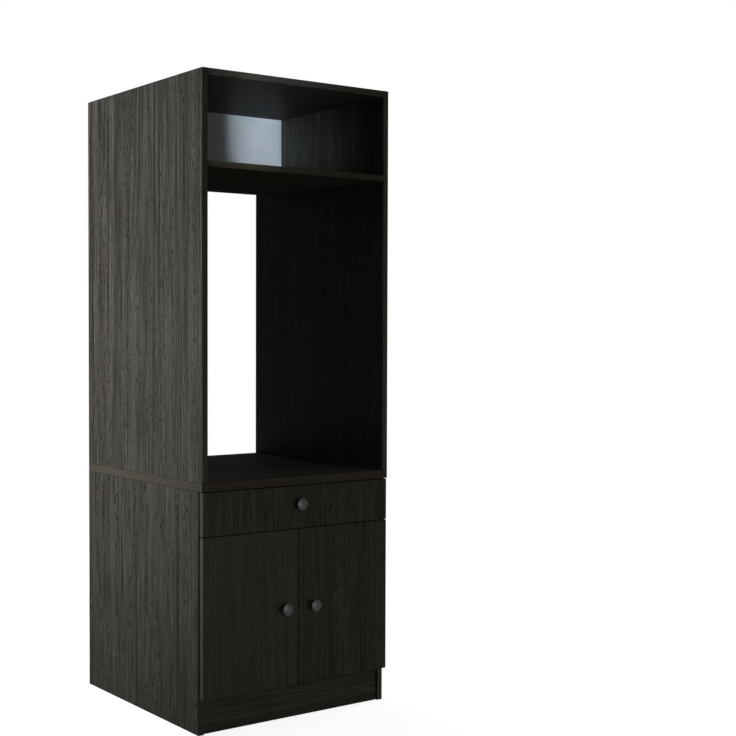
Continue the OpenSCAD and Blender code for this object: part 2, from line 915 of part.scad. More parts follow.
// Puts its children on a plate's two screws, with their heads towards the cupboard's middle
module at_plate_screws() {
  for (way = [-1, 1])
    translate([side_face, plate_centre, way * hole_pitch / 2]) rotate([0, 90, 0]) children();
}

module cup_bore() {
  translate([cup_centre, board - cup_depth, 0])
    rotate([-90, 0, 0]) cylinder(d = cup_diameter, h = cup_depth + 1);
}

module hinge_cup(side, level) {
  body = cup_diameter - 2 * fastener_play;
  color(nickel)
    at_hinge(side, level)
      difference() {
        union() {
          translate([cup_centre, board - cup_depth + fastener_play, 0])
            rotate([-90, 0, 0]) cylinder(d = body, h = cup_depth - fastener_play);
          translate([cup_centre, board, 0])
            rotate([-90, 0, 0]) cylinder(d = body + 2 * rim_width, h = rim_thickness);
          translate([0, board, 0])
            rotate([-90, 0, 0])
              linear_extrude(rim_thickness) {
                translate([cup_centre, -wing_spacing / 2])
                  square([wing_offset, wing_spacing]);
                for (way = [-1, 1])
                  translate([cup_centre + wing_offset, way * wing_spacing / 2]) circle(r = wing_end);
                translate([cup_centre + wing_offset, -wing_spacing / 2]) square([wing_end, wing_spacing]);
              }
        }
        translate([cup_centre, cup_floor, 0])
          rotate([-90, 0, 0]) cylinder(d = body - 2 * cup_wall, h = cup_depth + 2);
        at_cup_screws()
          translate([0, 0, -1]) cylinder(d = wood_screw + 2 * fastener_play, h = rim_thickness + 2);
      }
}

// The side view of an arm: a nose that folds into the cup, and a long shank over the plate's rail
module arm_outline() {
  polygon([
    [nose_low, nose_tip], [nose_high, nose_tip],
    [arm_top, side_edge + arm_bend], [arm_top, side_edge + arm_length],
    [arm_foot, side_edge + arm_length], [arm_foot, rail_start],
    [nose_low, side_edge + nose_bend]
  ]);
}

module arm_hollow() {
  polygon([
    [0, side_edge + arm_bend], [arm_top - arm_sheet, side_edge + arm_bend + arm_sheet],
    [arm_top - arm_sheet, side_edge + arm_length + 1], [0, side_edge + arm_length + 1]
  ]);
}

module hinge_arm(side, level) {
  color(nickel)
    at_hinge(side, level)
      difference() {
        linear_extrude(arm_width, center = true) arm_outline();
        linear_extrude(arm_width - 2 * arm_sheet, center = true) arm_hollow();
        for (v = arm_screw_spots)
          translate([arm_top - arm_sheet - 1, v, 0])
            rotate([0, 90, 0]) cylinder(d = arm_screw + 1.4, h = arm_sheet + 2);
      }
}

module hinge_plate(side, level) {
  color(nickel)
    at_hinge(side, level)
      difference() {
        union() {
          translate([side_face, plate_centre, 0])
            rotate([0, 90, 0])
              linear_extrude(plate_thickness) {
                square([hole_pitch, plate_band], center = true);
                for (way = [-1, 1]) translate([way * hole_pitch / 2, 0]) circle(d = plate_band);
              }
          block([side_face, rail_top], [rail_start, rail_end], [-rail_width / 2, rail_width / 2]);
        }
        at_plate_screws()
          translate([0, 0, -1]) cylinder(d = wood_screw + 2 * fastener_play, h = plate_thickness + 2);
        for (v = arm_screw_spots)
          translate([side_face + arm_hole_bottom, v, 0])
            rotate([0, 90, 0]) cylinder(d = arm_screw + 2 * fastener_play, h = rail_top);
      }
}

// The pilot hole of a wood screw in a board
module pilot_hole() {
  translate([0, 0, -wood_screw_length])
    cylinder(d = wood_screw + 2 * fastener_play, h = wood_screw_length + 1);
}

module hinge_plate_screws() {
  color(zinc)
    for (side = [left, right], level = hinge_levels)
      at_hinge(side, level)
        at_plate_screws()
          translate([0, 0, plate_thickness]) pan_screw(wood_screw, wood_screw_length);
}

module hinge_arm_screws() {
  color(zinc)
    for (side = [left, right], level = hinge_levels)
      at_hinge(side, level)
        for (v = arm_screw_spots)
          translate([arm_top, v, 0])
            rotate([0, 90, 0]) pan_screw(arm_screw, arm_top - side_face - arm_screw_tip);
}

module hinge_cup_screws(side) {
  color(zinc)
    for (level = hinge_levels)
      at_hinge(side, level)
        at_cup_screws()
          translate([0, 0, rim_thickness]) pan_screw(wood_screw, wood_screw_length);
}

module door(side) {
  color(wenge)
    difference() {
      on_side(side)
        block([-outer_half + side_reveal, -front_gap / 2], [front_y, front_y + board],
              [door_bottom, door_top]);
      for (level = hinge_levels)
        at_hinge(side, level) {
          cup_bore();
          at_cup_screws() pilot_hole();
        }
      at_door_knob(side) knob_screw_hole();
    }
}

base_side(left);  // base_side_left
base_side(right);  // base_side_right
base_floor();
plinth();
middle_rail();
rear_rail();
base_back();
worktop();
upper_side(left);  // upper_side_left
upper_side(right);  // upper_side_right
compartment_shelf();
compartment_back();
top_panel();
cam_housings();
cam_bolts();
dowels();
drawer_front();
drawer_box_front();
drawer_side(left);  // drawer_side_left
drawer_side(right);  // drawer_side_right
drawer_back();
drawer_bottom();
drawer_box_screws();
drawer_front_screws();
drawer_knob();
drawer_knob_screw();
slide_outer(left);  // slide_outer_left
slide_outer(right);  // slide_outer_right
slide_middle(left);  // slide_middle_left
slide_middle(right);  // slide_middle_right
slide_inner(left);  // slide_inner_left
slide_inner(right);  // slide_inner_right
outer_ball_cage(left);  // outer_ball_cage_left
outer_ball_cage(right);  // outer_ball_cage_right
inner_ball_cage(left);  // inner_ball_cage_left
inner_ball_cage(right);  // inner_ball_cage_right
slide_outer_screws();
slide_inner_screws();
door(left);  // door_left
door(right);  // door_right
door_knob(left);  // door_knob_left
door_knob(right);  // door_knob_right
door_knob_screw(left);  // door_knob_screw_left
door_knob_screw(right);  // door_knob_screw_right
hinge_cup(left, hinge_levels[0]);  // hinge_cup_left_lower
hinge_cup(left, hinge_levels[1]);  // hinge_cup_left_upper
hinge_cup(right, hinge_levels[0]);  // hinge_cup_right_lower
hinge_cup(right, hinge_levels[1]);  // hinge_cup_right_upper
hinge_cup_screws(left);  // hinge_cup_screws_left
hinge_cup_screws(right);  // hinge_cup_screws_right
hinge_arm(left, hinge_levels[0]);  // hinge_arm_left_lower
hinge_arm(left, hinge_levels[1]);  // hinge_arm_left_upper
hinge_arm(right, hinge_levels[0]);  // hinge_arm_right_lower
hinge_arm(right, hinge_levels[1]);  // hinge_arm_right_upper
hinge_plate(left, hinge_levels[0]);  // hinge_plate_left_lower
hinge_plate(left, hinge_levels[1]);  // hinge_plate_left_upper
hinge_plate(right, hinge_levels[0]);  // hinge_plate_right_lower
hinge_plate(right, hinge_levels[1]);  // hinge_plate_right_upper
hinge_plate_screws();
hinge_arm_screws();
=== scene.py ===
import json
import math

import bpy
import numpy as np
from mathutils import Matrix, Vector


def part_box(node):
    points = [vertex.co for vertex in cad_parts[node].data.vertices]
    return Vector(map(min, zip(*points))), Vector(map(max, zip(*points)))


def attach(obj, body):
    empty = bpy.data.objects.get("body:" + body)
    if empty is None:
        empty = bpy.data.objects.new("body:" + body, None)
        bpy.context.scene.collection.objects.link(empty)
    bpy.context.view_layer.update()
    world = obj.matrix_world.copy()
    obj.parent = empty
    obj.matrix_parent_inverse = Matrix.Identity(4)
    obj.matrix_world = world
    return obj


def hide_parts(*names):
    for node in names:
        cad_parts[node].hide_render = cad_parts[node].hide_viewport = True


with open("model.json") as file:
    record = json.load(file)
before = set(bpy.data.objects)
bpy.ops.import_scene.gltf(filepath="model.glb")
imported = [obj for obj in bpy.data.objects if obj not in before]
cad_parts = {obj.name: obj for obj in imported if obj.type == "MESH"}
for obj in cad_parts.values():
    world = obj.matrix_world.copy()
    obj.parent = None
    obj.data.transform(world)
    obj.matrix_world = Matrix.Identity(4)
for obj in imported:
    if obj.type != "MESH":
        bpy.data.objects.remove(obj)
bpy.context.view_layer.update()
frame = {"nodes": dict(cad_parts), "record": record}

nodes = frame["nodes"]
scene = bpy.context.scene
scene.view_settings.view_transform = "Standard"
print("frame loaded:", len(nodes), "nodes")

# fitted to 92 points on the edges in the photo
cameraFit = {
    "place": (-2.2355, -3.2825, 1.1144),
    "turn": 0.5813,            # radians from +Y towards +X
    "tilt": -0.0281,           # radians, downwards
    "focalPixels": 1295.8,
    "centrePixels": (215.0, 368.0),
    "framePixels": 736,
    "clipEnd": 100,
}


def makeCamera(fit):
    data = bpy.data.cameras.new("photoCamera")
    frameSize = fit["framePixels"]
    data.lens = fit["focalPixels"] / frameSize * data.sensor_width
    data.shift_x = (frameSize / 2 - fit["centrePixels"][0]) / frameSize
    data.shift_y = (fit["centrePixels"][1] - frameSize / 2) / frameSize
    data.clip_end = fit["clipEnd"]
    camera = bpy.data.objects.new("photoCamera", data)
    turn, tilt = fit["turn"], fit["tilt"]
    ahead = Vector((math.sin(turn) * math.cos(tilt), math.cos(turn) * math.cos(tilt), math.sin(tilt)))
    camera.location = fit["place"]
    camera.rotation_euler = ahead.to_track_quat("-Z", "Y").to_euler()
    scene.collection.objects.link(camera)
    scene.camera = camera


makeCamera(cameraFit)
print("camera placed")


def linear(hexColour):
    # sRGB hex to linear light
    parts = [int(hexColour[i:i + 2], 16) / 255 for i in (1, 3, 5)]
    return tuple(c / 12.92 if c <= 0.04045 else ((c + 0.055) / 1.055) ** 2.4 for c in parts) + (1.0,)


def addNode(tree, kind, settings=None, output=0):
    # A setting is a socket, by its name or number, or else a property of the node. Its value is a plain value,
    # a hex colour or another node's output. The node's output of that name or number comes back.
    node = tree.nodes.new("ShaderNode" + kind)
    for name, value in (settings or {}).items():
        if isinstance(value, bpy.types.NodeSocket):
            tree.links.new(value, node.inputs[name])
        elif isinstance(name, str) and name not in node.inputs:
            setattr(node, name, value)
        else:
            node.inputs[name].default_value = linear(value) if isinstance(value, str) else value
    return node.outputs[output] if node.outputs else node


def newMaterial(name):
    material = bpy.data.materials.new(name)
    material.use_nodes = True
    tree = material.node_tree
    tree.nodes.clear()
    return material, tree, addNode(tree, "TexCoord").node.outputs


def finishMaterial(tree, settings):
    shader = addNode(tree, "BsdfPrincipled", settings)
    addNode(tree, "OutputMaterial", {"Surface": shader})


def stretchedNoise(tree, place, cell, shift=(0, 0, 0), detail=2.0, roughness=0.5):
    # noise whose cells measure cell, in metres along x, y and z
    scale = [1 / size for size in cell]
    scaled = addNode(tree, "Mapping", {"Vector": place, "Scale": scale, "Location": shift})
    return addNode(tree, "TexNoise", {"Vector": scaled, "Scale": 1.0, "Detail": detail, "Roughness": roughness})


# soft steps: a plain one, one that spreads noise over 0 to 1, and one between a face and the next
softStep = {"interpolation_type": "SMOOTHSTEP"}
noiseStep = {"interpolation_type": "SMOOTHSTEP", "From Min": 0.35, "From Max": 0.65}
faceStep = {"interpolation_type": "SMOOTHSTEP", "From Min": 0.4, "From Max": 0.6}

# Wenge melamine on chipboard: a printed dark brown paper under resin, pressed with fine pores along the grain.
# It gives the eye dark satin boards with pale and dark lines, a few long dark threads, and short pores that come
# and go in columns. The real lines are 0.5 to 2 mm apart and the pores 0.3 mm wide. They are drawn about three
# times as coarse, or they would vanish at this distance. The edge band is nearly plain. Along every edge and
# seam a near-black line is painted at the band's glue line, as wide and dark as the shade in the seams: painted
# shade.
wenge = {
    "ground": "#48443d", "darkBand": "#413e38", "paleLine": "#595650", "darkLine": "#2f2c28", "pore": "#191714",
    # the last colour is painted shade, for the dark line along every edge and seam
    "edgeBand": "#4a463f", "seamShadeLine": "#12100e",
    # width and length of a cell in metres, detail and roughness of the noise
    "layers": {
        "lines": (0.0032, 0.25, 3.0, 0.7),
        "pores": (0.0034, 0.022, 2.0, 0.6),
        "columns": (0.020, 1.1, 2.0, 0.5),
        "bands": (0.055, 1.8, 2.0, 0.5),
        "threads": (0.0036, 1.6, 1.0, 0.5),
    },
    # layer, the noise values from which to which the pattern comes in, and how much of it there is before
    "patterns": {
        "paleLines": ("lines", 0.50, 0.60, 0.0),
        "darkLines": ("lines", 0.50, 0.42, 0.0),
        "threads": ("threads", 0.56, 0.66, 0.0),
        "pores": ("pores", 0.54, 0.62, 0.0),
        "columns": ("columns", 0.42, 0.60, 0.35),
        "bands": ("bands", 0.36, 0.64, 0.0),
    },
    "boardShift": (7.3, 11.9, 5.7), "layerShift": (31.7, 17.1, 23.3),
    "edgeShare": 0.25, "threadDepth": 0.7, "ior": 1.5, "roughness": 0.46, "poreRoughness": 0.66,
    # edge radius, and the range of the rounded normal over which the painted edge and seam shade fades out
    "edgeRadius": 0.0018, "seamShadeFrom": 0.90, "seamShadeTo": 0.999,
    "lineHeight": 0.2, "poreDepth": 0.00015, "bump": 0.5,
}


def wengeMelamine(name, faceAxis, grainAxis, strength, gloss, seed):
    material, tree, coordinates = newMaterial(name)
    noise = {}
    for step, (layer, (width, length, detail, roughness)) in enumerate(wenge["layers"].items(), 1):
        cell = [width] * 3
        cell["XYZ".index(grainAxis)] = length
        shift = [seed * board + step * apart for board, apart in zip(wenge["boardShift"], wenge["layerShift"])]
        noise[layer] = stretchedNoise(tree, coordinates["Object"], cell, shift, detail, roughness)
    shows = {}
    for pattern, (layer, low, high, least) in wenge["patterns"].items():
        shows[pattern] = addNode(tree, "MapRange", {
            **softStep, "Value": noise[layer], "From Min": low, "From Max": high, "To Min": least})

    # the print runs over the faces, and the edge band shows little of it
    across = addNode(tree, "SeparateXYZ", {"Vector": coordinates["Normal"]}, faceAxis)
    facing = addNode(tree, "MapRange", {
        **faceStep, "Value": addNode(tree, "Math", {"operation": "ABSOLUTE", 0: across})})
    onFace = addNode(tree, "MapRange", {
        **softStep, "Value": facing, "To Min": wenge["edgeShare"] * strength, "To Max": strength})
    poresInColumns = addNode(tree, "Math", {"operation": "MULTIPLY", 0: shows["pores"], 1: shows["columns"]})
    poreShare = addNode(tree, "Math", {"operation": "MULTIPLY", 0: poresInColumns, 1: onFace})
    paleShare, darkShare, threadShare = [
        addNode(tree, "Math", {"operation": "MULTIPLY", 0: shows[pattern], 1: onFace})
        for pattern in ("paleLines", "darkLines", "threads")]
    threadShare = addNode(tree, "Math", {"operation": "MULTIPLY", 0: threadShare, 1: wenge["threadDepth"]})

    # eased edges, with a line of painted shade along every edge and seam, at the band's glue line, where the
    # rounded normal leaves the face's own
    rounded = addNode(tree, "Bevel", {"samples": 6, "Radius": wenge["edgeRadius"]})
    own = addNode(tree, "NewGeometry", None, "Normal")
    alike = addNode(tree, "VectorMath", {"operation": "DOT_PRODUCT", 0: rounded, 1: own}, "Value")
    paintedSeamShade = addNode(tree, "MapRange", {
        **softStep, "Value": alike, "From Min": wenge["seamShadeFrom"], "From Max": wenge["seamShadeTo"],
        "To Min": 1.0, "To Max": 0.0})

    colour = addNode(tree, "Mix", {
        "data_type": "RGBA", 0: shows["bands"], 6: wenge["darkBand"], 7: wenge["ground"]}, 2)
    colour = addNode(tree, "Mix", {"data_type": "RGBA", 0: facing, 6: wenge["edgeBand"], 7: colour}, 2)
    for share, over in ((paleShare, "paleLine"), (darkShare, "darkLine"), (threadShare, "pore"),
                        (poreShare, "pore"), (paintedSeamShade, "seamShadeLine")):
        colour = addNode(tree, "Mix", {"data_type": "RGBA", 0: share, 6: colour, 7: wenge[over]}, 2)

    raised = addNode(tree, "Math", {"operation": "MULTIPLY", 0: shows["paleLines"], 1: wenge["lineHeight"]})
    height = addNode(tree, "Math", {"operation": "SUBTRACT", 0: raised, 1: poreShare})
    finishMaterial(tree, {
        "Base Color": colour, "IOR": wenge["ior"], "Specular IOR Level": gloss,
        "Roughness": addNode(tree, "MapRange", {
            **softStep, "Value": poreShare, "To Min": wenge["roughness"], "To Max": wenge["poreRoughness"]}),
        "Normal": addNode(tree, "Bump", {
            "Strength": wenge["bump"], "Distance": wenge["poreDepth"], "Height": height, "Normal": rounded})})
    return material


# Hardboard 3 mm: one face has a smooth white lacquer, the other is raw brown fibre with the print of the
# pressing screen. Screen and fibre keep their real size of about 1.5 mm.
hardboardSheet = {
    "lacquer": "#ccd3dc", "lacquerShade": "#c2c9d4", "cloud": 0.25, "cloudShift": (3.1, 0, 0),
    "raw": "#8a6a48", "rawDark": "#6d5136", "fibre": 0.0015, "fibreShift": (9.7, 0, 0),
    "screenPitch": 0.0016, "speckle": 0.009, "speckleShare": 0.25, "detail": 4.0,
    "ior": 1.5, "whiteRoughness": 0.38, "rawRoughness": 0.85, "depth": 0.0002, "bump": 0.4,
}


def whiteHardboard(name, whiteSide):
    # whiteSide is the axis and the sign of the lacquered face
    sheet = hardboardSheet
    material, tree, coordinates = newMaterial(name)
    place = coordinates["Object"]
    speckle = stretchedNoise(tree, place, [sheet["speckle"]] * 3, detail=sheet["detail"])
    cloud = stretchedNoise(tree, place, [sheet["cloud"]] * 3, sheet["cloudShift"])
    fibre = stretchedNoise(tree, place, [sheet["fibre"]] * 3, sheet["fibreShift"], sheet["detail"])
    lacquer, raw = [
        addNode(tree, "Mix", {
            "data_type": "RGBA", 0: addNode(tree, "MapRange", {**noiseStep, "Value": noise}),
            6: sheet[shade], 7: sheet[tone]}, 2)
        for noise, shade, tone in ((cloud, "lacquerShade", "lacquer"), (fibre, "rawDark", "raw"))]
    axis, sign = whiteSide
    across = addNode(tree, "SeparateXYZ", {"Vector": coordinates["Normal"]}, axis)
    facing = addNode(tree, "Math", {"operation": "MULTIPLY", 0: across, 1: sign})
    isWhite = addNode(tree, "MapRange", {**faceStep, "Value": facing})
    isRaw = addNode(tree, "Math", {"operation": "SUBTRACT", 0: 1.0, 1: isWhite})

    # pressing screen: a square mesh of wires on the raw face
    scaled = addNode(tree, "Mapping", {"Vector": place, "Scale": [1 / sheet["screenPitch"]] * 3})
    wires = addNode(tree, "TexVoronoi", {"Vector": scaled, "Scale": 1.0, "Randomness": 0.0}, "Distance")
    screen = addNode(tree, "Math", {"operation": "MULTIPLY", 0: wires, 1: isRaw})
    fine = addNode(tree, "Math", {"operation": "MULTIPLY", 0: speckle, 1: sheet["speckleShare"]})
    height = addNode(tree, "Math", {"operation": "ADD", 0: screen, 1: fine})
    finishMaterial(tree, {
        "IOR": sheet["ior"],
        "Base Color": addNode(tree, "Mix", {"data_type": "RGBA", 0: isWhite, 6: raw, 7: lacquer}, 2),
        "Roughness": addNode(tree, "MapRange", {
            **softStep, "Value": isWhite, "To Min": sheet["rawRoughness"], "To Max": sheet["whiteRoughness"]}),
        "Normal": addNode(tree, "Bump", {
            "Strength": sheet["bump"], "Distance": sheet["depth"], "Height": height})})
    return material


# Drawer box: white melamine on chipboard, with a fine pearl skin of 2 mm grains and eased edges
drawerBoard = {
    "white": "#d3d1cb", "shade": "#c8c6bf", "cloud": 0.12, "cloudShift": (5.0, 0, 0),
    "pearl": 0.0022, "detail": 3.0, "ior": 1.5, "roughness": 0.42, "rougher": 0.52,
    "edgeRadius": 0.0008, "depth": 0.0001, "bump": 0.3,
}


def drawerMelamine(name):
    board = drawerBoard
    material, tree, coordinates = newMaterial(name)
    skin = stretchedNoise(tree, coordinates["Object"], [board["pearl"]] * 3, detail=board["detail"])
    cloud = stretchedNoise(tree, coordinates["Object"], [board["cloud"]] * 3, board["cloudShift"])
    tint = addNode(tree, "MapRange", {**noiseStep, "Value": cloud})
    rounded = addNode(tree, "Bevel", {"samples": 4, "Radius": board["edgeRadius"]})
    finishMaterial(tree, {
        "IOR": board["ior"],
        "Base Color": addNode(tree, "Mix", {
            "data_type": "RGBA", 0: tint, 6: board["shade"], 7: board["white"]}, 2),
        "Roughness": addNode(tree, "MapRange", {
            **noiseStep, "Value": skin, "To Min": board["roughness"], "To Max": board["rougher"]}),
        "Normal": addNode(tree, "Bump", {
            "Strength": board["bump"], "Distance": board["depth"], "Height": skin, "Normal": rounded})})
    return material


# Plated steels: colour, shade, roughness, and the cell of the rolling or tumbling marks, which blur what the
# metal mirrors. The slides' marks run along the strip. Cells of 2 to 4 mm are coarser than the real marks, or
# they wouldn't show.
platedFinishes = {
    "bronzedZincAlloy": ("#4b4138", "#3a322b", 0.42, (0.003, 0.003, 0.003)),
    "zincPlatedSteel": ("#c2c6ca", "#a9adb3", 0.34, (0.002, 0.002, 0.002)),
    "rolledSlideSteel": ("#c4c7c9", "#aeb2b5", 0.30, (0.0006, 0.06, 0.0006)),
    "bearingSteel": ("#b5b5b3", "#a3a3a2", 0.20, (0.003, 0.003, 0.003)),
    "nickelPlatedSteel": ("#b9b7b1", "#a5a39e", 0.26, (0.004, 0.004, 0.004)),
}
platedSkin = {
    "detail": 3.0, "cloud": 0.02, "cloudShift": (2.2, 0, 0), "low": 0.3, "high": 0.7, "smoother": 0.06,
    "rougher": 0.10, "edgeRadius": 0.0003, "depth": 0.00005, "bump": 0.2,
}


def platedSteel(name):
    metal, shade, roughness, cell = platedFinishes[name]
    skin = platedSkin
    material, tree, coordinates = newMaterial(name)
    marks = stretchedNoise(tree, coordinates["Object"], cell, detail=skin["detail"])
    cloud = stretchedNoise(tree, coordinates["Object"], [skin["cloud"]] * 3, skin["cloudShift"])
    tone = addNode(tree, "MapRange", {**noiseStep, "Value": cloud})
    rounded = addNode(tree, "Bevel", {"samples": 4, "Radius": skin["edgeRadius"]})
    finishMaterial(tree, {
        "Metallic": 1.0,
        "Base Color": addNode(tree, "Mix", {"data_type": "RGBA", 0: tone, 6: shade, 7: metal}, 2),
        "Roughness": addNode(tree, "MapRange", {
            **softStep, "Value": marks, "From Min": skin["low"], "From Max": skin["high"],
            "To Min": roughness - skin["smoother"], "To Max": roughness + skin["rougher"]}),
        "Normal": addNode(tree, "Bump", {
            "Strength": skin["bump"], "Distance": skin["depth"], "Height": marks, "Normal": rounded})})
    return material


# Beech dowels: pale wood with short dark flecks along the dowel, 0.6 mm wide and 4 mm long
beechWood = {
    "wood": "#c9a474", "fleck": "#9c7648", "cell": (0.004, 0.0006, 0.0006), "low": 0.55, "high": 0.68,
    "ior": 1.5, "roughness": 0.7, "depth": 0.0001, "bump": 0.2,
}


def beechDowels(name):
    wood = beechWood
    material, tree, coordinates = newMaterial(name)
    flecks = addNode(tree, "MapRange", {
        **softStep, "Value": stretchedNoise(tree, coordinates["Object"], wood["cell"]),
        "From Min": wood["low"], "From Max": wood["high"]})
    finishMaterial(tree, {
        "IOR": wood["ior"], "Roughness": wood["roughness"],
        "Base Color": addNode(tree, "Mix", {
            "data_type": "RGBA", 0: flecks, 6: wood["wood"], 7: wood["fleck"]}, 2),
        "Normal": addNode(tree, "Bump", {
            "Strength": wood["bump"], "Distance": wood["depth"], "Height": flecks})})
    return material


# Knobs: cast zinc alloy under gunmetal grey lacquer, satin, with a fine grit, and paler where hands have worn
# the edges. The grit of 0.8 mm is coarser than the real one, or it wouldn't show.
knobFinish = {
    "lacquer": "#77767c", "worn": "#8d8c92", "metallic": 0.25, "cloud": 0.012, "cloudShift": (4.0, 0, 0),
    "cloudShare": 0.2, "wearFrom": 0.75, "wear": 0.8, "grit": 0.0008, "detail": 3.0, "low": 0.3, "high": 0.7,
    "roughness": 0.37, "rougher": 0.50, "edgeRadius": 0.001, "depth": 0.00005, "bump": 0.25,
}


def gunmetalLacquer(name):
    finish = knobFinish
    material, tree, coordinates = newMaterial(name)
    grit = stretchedNoise(tree, coordinates["Object"], [finish["grit"]] * 3, detail=finish["detail"])
    cloud = stretchedNoise(tree, coordinates["Object"], [finish["cloud"]] * 3, finish["cloudShift"])
    clouded = addNode(tree, "MapRange", {**noiseStep, "Value": cloud})
    # handled edges: where the rounded normal leaves the face's own
    rounded = addNode(tree, "Bevel", {"samples": 6, "Radius": finish["edgeRadius"]})
    own = addNode(tree, "NewGeometry", None, "Normal")
    alike = addNode(tree, "VectorMath", {"operation": "DOT_PRODUCT", 0: rounded, 1: own}, "Value")
    wear = addNode(tree, "MapRange", {
        **softStep, "Value": alike, "From Min": finish["wearFrom"], "To Min": finish["wear"], "To Max": 0.0})
    thin = addNode(tree, "Math", {"operation": "MULTIPLY", 0: clouded, 1: finish["cloudShare"]})
    share = addNode(tree, "Math", {"operation": "ADD", 0: wear, 1: thin})
    finishMaterial(tree, {
        "Metallic": finish["metallic"],
        "Base Color": addNode(tree, "Mix", {
            "data_type": "RGBA", 0: share, 6: finish["lacquer"], 7: finish["worn"]}, 2),
        "Roughness": addNode(tree, "MapRange", {
            **softStep, "Value": grit, "From Min": finish["low"], "From Max": finish["high"],
            "To Min": finish["roughness"], "To Max": finish["rougher"]}),
        "Normal": addNode(tree, "Bump", {
            "Strength": finish["bump"], "Distance": finish["depth"], "Height": grit, "Normal": rounded})})
    return material


def finishNode(name, material):
    mesh = nodes[name].data
    mesh.materials.clear()
    mesh.materials.append(material)


# Boards: the axis across the faces, the axis of the grain, the strength of the print, and the gloss, which is
# matched to what each board mirrors in the photo
wengeBoards = {
    "base_side_left": ("X", "Z", 1.0, 0.15),
    "base_side_right": ("X", "Z", 0.85, 0.50),
    "upper_side_left": ("X", "Z", 1.0, 0.15),
    "upper_side_right": ("X", "Z", 0.85, 0.50),
    "door_left": ("Y", "Z", 0.45, 0.20),
    "door_right": ("Y", "Z", 0.55, 0.16),
    "drawer_front": ("Y", "Z", 0.65, 0.12),
    "worktop": ("Z", "X", 0.7, 0.04),
    "compartment_shelf": ("Z", "X", 0.7, 0.0),
    "top_panel": ("Z", "X", 0.7, 0.50),
    "base_floor": ("Z", "X", 0.8, 0.26),
    "middle_rail": ("Z", "X", 0.8, 0.26),
    "plinth": ("Y", "X", 0.7, 0.20),
    "rear_rail": ("Y", "X", 0.8, 0.26),
}
for seed, (board, choices) in enumerate(wengeBoards.items(), 1):
    boardName = "".join(part.capitalize() for part in board.split("_"))
    finishNode(board, wengeMelamine("wengeMelamine" + boardName, *choices, seed))
print("wenge boards finished:", len(wengeBoards))

finishNode("compartment_back", whiteHardboard("whiteHardboardCompartment", ("Y", -1.0)))
finishNode("base_back", whiteHardboard("whiteHardboardBase", ("Y", -1.0)))
finishNode("drawer_bottom", whiteHardboard("whiteHardboardDrawer", ("Z", 1.0)))
drawerWhite = drawerMelamine("whiteDrawerMelamine")
for board in ("drawer_box_front", "drawer_side_left", "drawer_side_right", "drawer_back"):
    finishNode(board, drawerWhite)

slotSteels = {
    "bronzed_zinc_alloy": "bronzedZincAlloy",
    "zinc_plated_steel": "zincPlatedSteel",
    "slide_steel": "rolledSlideSteel",
    "bearing_steel": "bearingSteel",
    "nickel_plated_steel": "nickelPlatedSteel",
}
steels = {slot: platedSteel(name) for slot, name in slotSteels.items()}
for subpart in frame["record"]["subparts"]:
    if subpart["material_slot"] in steels:
        finishNode(subpart["node"], steels[subpart["material_slot"]])
finishNode("dowels", beechDowels("beech"))
gunmetal = gunmetalLacquer("gunmetalLacquerOnZincAlloy")
for knobNode in ("drawer_knob", "door_knob_left", "door_knob_right"):
    finishNode(knobNode, gunmetal)
print("panels, drawer box and metal finished")

knobShape = {
    "projection": 0.022, "radius": 0.017, "head": 0.009, "crown": 0.003, "rim": 0.0012, "lip": 0.0005,
    "foot": 0.006, "neck": 0.0045, "flange": 0.0012, "waist": 0.006, "chamfer": 0.0003,
    "turnSteps": 96, "arcSteps": 10, "faceSteps": 14,
}


def knobProfile(shape):
    # (radius, height) from the foot's centre round to the face's centre: foot flange, quarter-ellipse waist,
    # cone under the head, upright rim with a small quarter-round, parabolic face
    arc = np.linspace(0, math.pi / 2, shape["arcSteps"])
    radius, lip, chamfer = shape["radius"], shape["lip"], shape["chamfer"]
    rimTop = shape["projection"] - shape["crown"]
    foot = np.array([
        [0, 0], [shape["foot"] - chamfer, 0], [shape["foot"], chamfer], [shape["foot"], shape["flange"]]])
    hollow = np.column_stack([
        shape["neck"] + (shape["foot"] - shape["neck"]) * (1 - np.sin(arc)),
        shape["flange"] + (shape["waist"] - shape["flange"]) * (1 - np.cos(arc))])[1:]
    under = np.array([
        [shape["neck"], shape["projection"] - shape["head"]],
        [radius - chamfer, rimTop - shape["rim"]],
        [radius, rimTop - shape["rim"] + chamfer]])
    edge = np.column_stack([radius - lip + lip * np.cos(arc), rimTop - lip + lip * np.sin(arc)])
    faceRadius = (radius - lip) * np.linspace(1, 0, shape["faceSteps"])[1:]
    face = np.column_stack([
        faceRadius, rimTop + shape["crown"] * (1 - (faceRadius / (radius - lip)) ** 2)])
    return np.vstack([foot, hollow, under, edge, face])


